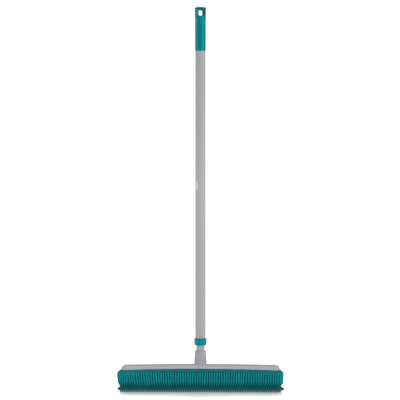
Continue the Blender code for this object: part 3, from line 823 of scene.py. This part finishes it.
# The inner bristles are round, in staggered rows that keep clear of the screws
BRISTLE_ROOT, BRISTLE_TIP, BRISTLE_SIDES = 0.0021, 0.0009, 10
BRISTLE_LEVELS = (1.0, 0.93, 0.75, 0.5, 0.28, 0.12, 0.045, 0.015, 0.0)
BRISTLE_SHORT = 0.0045
BRISTLE_PITCH, BRISTLE_COUNT = 0.0083, 44
BRISTLE_ROWS, BRISTLE_ROW_PITCH, BRISTLE_FRONT = 6, 0.0080, -0.0150
END_BRISTLES, END_BRISTLE_X, END_BRISTLE_FRONT = 5, 0.1848, -0.0110
SCREW_CLEARANCE = 0.0068

HOLE_RADIUS, HOLE_LOW, HOLE_HIGH = 0.0046, 0.0385, 0.0445
SAG_LEFT, SAG_RIGHT = 0.0003, 0.0012


def curl(z, early=CURL_EARLY):
    """How far a bristle has bent inwards at a height, from 0 at its root to 1 at its tip."""
    gentle, sharp = smooth((0.0380 - z) / 0.0140), smooth((0.0225 - z) / 0.0110)
    return float(early * gentle + (1 - early) * sharp)


def lifted(z):
    """How much of the arch a height takes up: none at the floor, all of it at the rim."""
    return float(smooth(z / PAD_UNDERSIDE))


def perimeter(s):
    """Point and outward normal on the fringe's outline, s metres from the front's middle."""
    side = 1 if s >= 0 else -1
    s = abs(s)
    straight = FRINGE_X - FRINGE_CORNER
    turn = FRINGE_CORNER * math.pi / 2
    if s < straight:
        point, normal = (s, -FRINGE_Y), (0, -1)
    elif s < straight + turn:
        a = (s - straight) / FRINGE_CORNER
        point = (
            straight + FRINGE_CORNER * math.sin(a),
            -FRINGE_Y + FRINGE_CORNER * (1 - math.cos(a)),
        )
        normal = (math.sin(a), -math.cos(a))
    else:
        point = (FRINGE_X, -FRINGE_Y + FRINGE_CORNER + s - straight - turn)
        normal = (1, 0)
    return Vector((side * point[0], point[1], 0)), Vector((side * normal[0], normal[1], 0))


def add_rib(verts, faces, s):
    """A flat-backed bristle that starts in the rim, runs down and curls in under it."""
    base, out = perimeter(s)
    along = Vector((-out.y, out.x, 0))
    lift = arch(base.x)
    early = CURL_EARLY if base.x < CURL_RIGHT_FROM else CURL_EARLY_RIGHT
    lean = chance.uniform(-0.00008, 0.00008)
    nod = chance.uniform(-0.0003, 0.0003)
    faces += capped_faces(len(RIB_HEIGHTS), RIB_SIDES, len(verts))
    for level, z in enumerate(RIB_HEIGHTS):
        rise = lift * lifted(z)
        sunk = RIB_SUNK * (1 - float(smooth((0.0475 - z) / 0.0062)))
        bend = curl(z, early)
        toe = max(0.0, 1 - z / 0.0070)
        width = RIB_WIDTH + 0.0004 * bend - 0.0003 * toe
        thick = RIB_THICK - 0.0009 * bend - 0.0012 * toe
        if level == len(RIB_HEIGHTS) - 1:
            width, thick = width * 0.6, thick * 0.6
        centre = base - out * (sunk + thick * 0.55)
        inward = CURL_DEPTH * bend
        centre.x -= base.x / FRINGE_X * inward
        centre.y -= base.y / FRINGE_Y * inward
        centre += along * lean * bend + out * nod * bend
        for k in range(RIB_SIDES):
            a = 2 * math.pi * k / RIB_SIDES
            across = math.copysign(abs(math.cos(a)) ** 0.8, math.cos(a)) * width / 2
            reach = math.sin(a) * thick * (0.55 if math.sin(a) > 0 else 0.45)
            point = centre + along * across + out * reach
            verts.append((point.x, point.y, z + rise))


def add_bristle(verts, faces, x, y):
    """A round tapered bristle with a domed tip, a little shorter than the outer ones."""
    length = PAD_UNDERSIDE + arch(x) + 0.0010
    short = BRISTLE_SHORT + chance.uniform(-0.0008, 0.0004)
    lean_x, lean_y = chance.uniform(-0.0004, 0.0004), chance.uniform(-0.0004, 0.0004)
    faces += capped_faces(len(BRISTLE_LEVELS), BRISTLE_SIDES, len(verts))
    for z in BRISTLE_LEVELS:
        height = short + (length - short) * z
        bend = curl(height)
        radius = BRISTLE_TIP + (BRISTLE_ROOT - BRISTLE_TIP) * z**0.8
        if z == 1.0:
            radius *= 1.25
        if z < 0.03:
            radius *= 0.8 if z else 0.45
        cx = x * (1 - 0.035 * bend) + lean_x * (1 - z)
        cy = y * (1 - 0.12 * bend) + lean_y * (1 - z)
        for k in range(BRISTLE_SIDES):
            a = 2 * math.pi * k / BRISTLE_SIDES
            verts.append((cx + radius * math.cos(a), cy + radius * math.sin(a), height))


def make_bristles():
    """The fringe of outer bristles, the rows inside it and a few behind it at each end."""
    verts, faces = [], []
    reach = FRINGE_X - FRINGE_CORNER + FRINGE_CORNER * math.pi / 2 + FRINGE_RETURN
    count = int(reach / RIB_PITCH)
    for i in range(-count, count + 1):
        add_rib(verts, faces, i * RIB_PITCH)
    for row in range(BRISTLE_ROWS):
        y = BRISTLE_FRONT + row * BRISTLE_ROW_PITCH
        number = BRISTLE_COUNT + row % 2
        for i in range(number):
            x = (i - (number - 1) / 2) * BRISTLE_PITCH
            if all(math.hypot(abs(x) - sx, y) > SCREW_CLEARANCE for sx in SCREW_X):
                add_bristle(verts, faces, x, y)
    for side in (-1, 1):
        for row in range(END_BRISTLES):
            y = END_BRISTLE_FRONT + row * BRISTLE_ROW_PITCH
            add_bristle(verts, faces, side * END_BRISTLE_X, y)
    return build("bristles", verts, faces, weld=1e-8)


def make_tray():
    """Rim, seat for the shell, pocket for the carrier plate and the base below it."""
    rows = []

    def add(half_x, half_y, corner, z):
        rows.append((half_x, half_y, corner, lambda x, y: z + arch(x)))

    # The underside, from its middle out
    spine, base, base_corner = FRINGE_X - FRINGE_Y, 0.0280, 0.0120
    for share in (0.0, 0.5, 0.9):
        add(spine + base * share, base * share, base_corner * share, PAD_UNDERSIDE)
    add(spine + base - 0.0008, base - 0.0008, base_corner, PAD_UNDERSIDE)
    add(spine + base, base, base_corner + 0.0005, PAD_UNDERSIDE + 0.0004)
    # The rim: half length, half depth and height, from its foot up to its inner edge
    edge_x, edge_y = SHELL_X + 0.0003, SHELL_Y + 0.0003
    section = (
        (0.1874, 0.0288, 0.0412), (0.1886, 0.0297, 0.0428), (0.1884, 0.0298, 0.0442),
        (0.1872, 0.0294, 0.0457), (0.1855, 0.0287, 0.0470), (0.1837, 0.0278, 0.0481),
        (0.1824, 0.0268, 0.0490), (edge_x + 0.0003, edge_y + 0.0003, 0.0495),
    )
    for half_x, half_y, z in curve(section, 3):
        add(half_x, half_y, half_y - 0.0165, z)
    # The seat for the shell, and its lip over the carrier plate's edge
    add(edge_x, edge_y, 0.0127, RIM_TOP - 0.0003)
    add(edge_x, edge_y, 0.0127, LIP_TOP)
    lip_x, lip_y, pocket_corner = 0.1740, 0.0205, 0.0100
    add(lip_x, lip_y, pocket_corner, LIP_TOP)
    add(lip_x, lip_y, pocket_corner, LIP_BOTTOM)
    # The carrier plate's pocket
    pocket_x, pocket_y = 0.1783, 0.0248
    add(pocket_x, pocket_y, pocket_corner, LIP_BOTTOM)
    add(pocket_x, pocket_y, pocket_corner, PAD_FLOOR)
    for share in (0.9, 0.5, 0.0):
        add(pocket_x - pocket_y * (1 - share), pocket_y * share, pocket_corner * share, PAD_FLOOR)
    holes = pegs(
        "holes",
        HOLE_RADIUS,
        lambda x: HOLE_LOW + arch(x),
        lambda x: HOLE_HIGH + arch(x),
        32,
    )
    return cut(dish("tray", rows), holes, "DIFFERENCE")


def make_squeegee():
    """The lip along the back, flared to a point at each end where it meets the floor."""
    # Height, half length, distance behind the middle and thickness
    levels = (
        (0.0412, 0.1790, 0.0283, 0.0040),
        (0.0360, 0.1795, 0.0285, 0.0036),
        (0.0280, 0.1803, 0.0288, 0.0030),
        (0.0200, 0.1812, 0.0291, 0.0026),
        (0.0140, 0.1824, 0.0293, 0.0023),
        (0.0105, 0.1834, 0.0295, 0.0021),
        (0.0080, 0.1858, 0.0296, 0.0020),
        (0.0057, 0.1892, 0.0297, 0.0019),
        (0.0034, 0.1910, 0.0299, 0.0017),
        (0.0014, 0.1920, 0.0301, 0.0015),
        (0.0003, 0.1924, 0.0302, 0.0013),
        (0.0, 0.1924, 0.0302, 0.0010),
    )
    rings = []
    for z, half, y, thick in levels:
        flat = outline(half, thick / 2, thick / 2 * 0.95, along=120, across=2, bend=4)
        rise = arch(flat[:, 0]) * lifted(z)
        rings.append(np.column_stack([flat[:, 0], flat[:, 1] + y, z + rise]))
    rings = np.array(rings)
    faces = capped_faces(len(rings), rings.shape[1])
    return build("squeegee", rings.reshape(-1, 3), faces, weld=1e-8)


def sag(obj):
    """Lets the rim droop at its two ends, more at the right one."""
    for vert in obj.data.vertices:
        x, _, z = vert.co
        end = smooth((abs(x) - 0.1805) / 0.0050) * smooth((z - PAD_UNDERSIDE) / 0.0040)
        vert.co.z -= (SAG_RIGHT if x > 0 else SAG_LEFT) * float(end)


brush = joined("rubber_brush", [make_tray(), make_squeegee(), make_bristles()])
sag(brush)
soften(brush, 45)
place(brush, rubber, "head", "teal_rubber", "rubber_pad")


# ---- Screws ----

SCREW_HEAD, SCREW_SHANK = 0.0038, 0.0019
SCREW_TIP, SCREW_TAPER, SCREW_DEEP = 0.0090, 0.0070, 0.0024


def make_slot(turn):
    """A cutter for one bar of the cross recess, narrower at its floor than at its mouth."""
    bm = bmesh.new()
    bmesh.ops.create_cube(bm, size=1)
    for vert in bm.verts:
        deep = vert.co.z > 0
        vert.co.x *= 0.0026 if deep else 0.0044
        vert.co.y *= 0.0007 if deep else 0.0011
        vert.co.z = PAD_FLOOR - SCREW_DEEP + (0.0014 if deep else -0.0005)
    bmesh.ops.rotate(bm, verts=bm.verts, matrix=Matrix.Rotation(math.radians(turn), 3, "Z"))
    return from_bmesh("slot", bm)


def make_screw(number):
    """A pan-head screw from below, its head up inside the rubber's hole."""
    low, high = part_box(f"carrier_screw_{number}")
    centre = (low + high) / 2
    profile = rounded(
        [
            (0, PAD_FLOOR + SCREW_TIP, 0),
            (0.0008, PAD_FLOOR + SCREW_TIP, 0),
            (SCREW_SHANK, PAD_FLOOR + SCREW_TAPER, 0),
            (SCREW_SHANK, PAD_FLOOR, 0),
            (SCREW_HEAD, PAD_FLOOR, 0.0003),
            (SCREW_HEAD, PAD_FLOOR - 0.0014, 0.0008),
            (SCREW_HEAD - 0.0009, PAD_FLOOR - SCREW_DEEP, 0.0006),
            (0, PAD_FLOOR - SCREW_DEEP, 0),
        ]
    )
    screw = lathe(f"carrier_screw_skin_{number}", profile, 40)
    for turn in (0, 90):
        cut(screw, make_slot(turn), "DIFFERENCE")
    screw.data.transform(
        Matrix.Translation((centre.x, centre.y, arch(centre.x)))
        @ Matrix.Rotation(chance.uniform(0, math.pi), 4, "Z")
    )
    soften(screw, 35)
    place(screw, steel, "head", "zinc", f"carrier_screw_{number}")


for number in range(1, 7):
    make_screw(number)


# ---- CAD pieces that stay, hidden inside the head and the tubes ----

for name, material in (
    ("carrier_plate", head_plastic),
    ("screw_tip", head_plastic),
    ("lock_core", white_plastic),
    ("lock_cam", white_plastic),
    ("guide_ring", white_plastic),
):
    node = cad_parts[name]
    node.data.materials.clear()
    node.data.materials.append(material)
    node.data.shade_smooth()
    weld = node.modifiers.new("weld", "WELD")
    weld.merge_threshold = 1e-6
    edges = node.modifiers.new("edges", "BEVEL")
    edges.width = 0.0002
    edges.segments = 2
    edges.limit_method = "ANGLE"
    edges.angle_limit = math.radians(40)


# ---- Floor, light and camera ----

FLOOR_RADIUS, FLOOR_GLOW = 1.6, 0.29
WALLS, CEILING, BACK_SHARE = 0.48, 0.94, 0.52
# Direction from the front, half width and soft edge in degrees, and strength
SOFT_BOXES = ((-80, 11, 12, 2.15), (60, 15, 12, 2.45), (24, 26, 8, 0.35))
BACKDROP_WHITE = 1.27
LAMP_POWER, LAMP_SIZE, LAMP_HEIGHT = 5.4, math.radians(50), math.radians(40)
CAMERA_HEIGHT, CAMERA_DISTANCE, CAMERA_ASIDE = 0.4358, 4.7, -0.0009
CAMERA_TURN = math.radians(1.8)
CAMERA_SEES, SENSOR = 0.912, 36


def make_floor():
    """A round pale floor, a little darker far behind, with a faint glow of its own."""
    bm = bmesh.new()
    bmesh.ops.create_circle(bm, cap_ends=True, segments=128, radius=FLOOR_RADIUS)
    floor = from_bmesh("floor", bm)
    n = Paint("pale_floor")
    cloud = n.span(n.noise(3.0, 2.0), 0.3, 0.7)
    paint = n.mix(cloud, (0.31, 0.31, 0.31), (0.33, 0.33, 0.33))
    far = n.span(n.axis()[1], 0.05, 0.75)
    paint = n.mix(far, paint, (0.16, 0.16, 0.16))
    floor.data.materials.append(n.finish(paint, 0.45, specular=0.2))
    n.shader.inputs["Emission Color"].default_value = (1.0, 1.0, 1.0, 1.0)
    n.shader.inputs["Emission Strength"].default_value = FLOOR_GLOW
    return floor


def make_world():
    """White to the camera. To everything else, a bright ceiling and three tall soft boxes at
    the front, with dimmer walls behind."""
    world = bpy.data.worlds.new("studio")
    scene.world = world
    world.use_nodes = True
    n = Nodes(world.node_tree)
    n.tree.nodes.clear()
    split = n.add("ShaderNodeSeparateXYZ")
    n.link(n.add("ShaderNodeTexCoord").outputs["Generated"], split.inputs[0])
    x, y, z = split.outputs
    turn = n.math("ARCTAN2", x, n.math("MULTIPLY", y, -1.0))
    light = n.span(z, -0.1, 0.9, WALLS, CEILING)
    light = n.math("MULTIPLY", light, n.span(y, 0.9, -0.6, BACK_SHARE, 1.0))
    for middle, half, soft, strength in SOFT_BOXES:
        away = n.math("ABSOLUTE", n.math("SUBTRACT", turn, math.radians(middle)))
        box = n.span(away, math.radians(half + soft), math.radians(half), 0.0, strength)
        box = n.math("MULTIPLY", box, n.span(z, 0.75, 0.35))
        light = n.math("ADD", light, box)
    room = n.add("ShaderNodeBackground")
    n.link(light, room.inputs["Strength"])
    white = n.add("ShaderNodeBackground")
    n.link(BACKDROP_WHITE, white.inputs["Strength"])
    mix = n.add("ShaderNodeMixShader")
    n.link(n.add("ShaderNodeLightPath").outputs["Is Camera Ray"], mix.inputs["Fac"])
    n.link(room.outputs[0], mix.inputs[1])
    n.link(white.outputs[0], mix.inputs[2])
    n.link(mix.outputs[0], n.add("ShaderNodeOutputWorld").inputs["Surface"])


def make_light(floor):
    """A broad lamp behind and above, which whitens the floor and leaves the head's shadow."""
    light = bpy.data.lights.new("key", "SUN")
    light.energy = LAMP_POWER
    light.angle = LAMP_SIZE
    key = bpy.data.objects.new("key", light)
    scene.collection.objects.link(key)
    towards = Vector((0.05, -math.cos(LAMP_HEIGHT), -math.sin(LAMP_HEIGHT)))
    key.rotation_mode = "QUATERNION"
    key.rotation_quaternion = towards.to_track_quat("-Z", "Y")
    lit = bpy.data.collections.new("floor_only")
    lit.objects.link(floor)
    key.light_linking.receiver_collection = lit


def make_camera():
    """Level, at half the object's height, and turned a little."""
    data = bpy.data.cameras.new("camera")
    data.sensor_width = SENSOR
    data.lens = SENSOR * CAMERA_DISTANCE / CAMERA_SEES
    data.clip_end = 100
    camera = bpy.data.objects.new("camera", data)
    scene.collection.objects.link(camera)
    camera.location = (
        CAMERA_ASIDE + CAMERA_DISTANCE * math.sin(CAMERA_TURN),
        -CAMERA_DISTANCE * math.cos(CAMERA_TURN),
        CAMERA_HEIGHT,
    )
    camera.rotation_euler = (math.radians(90), 0, CAMERA_TURN)
    scene.camera = camera


floor = make_floor()
make_world()
make_light(floor)
make_camera()
scene.view_settings.view_transform = "Standard"
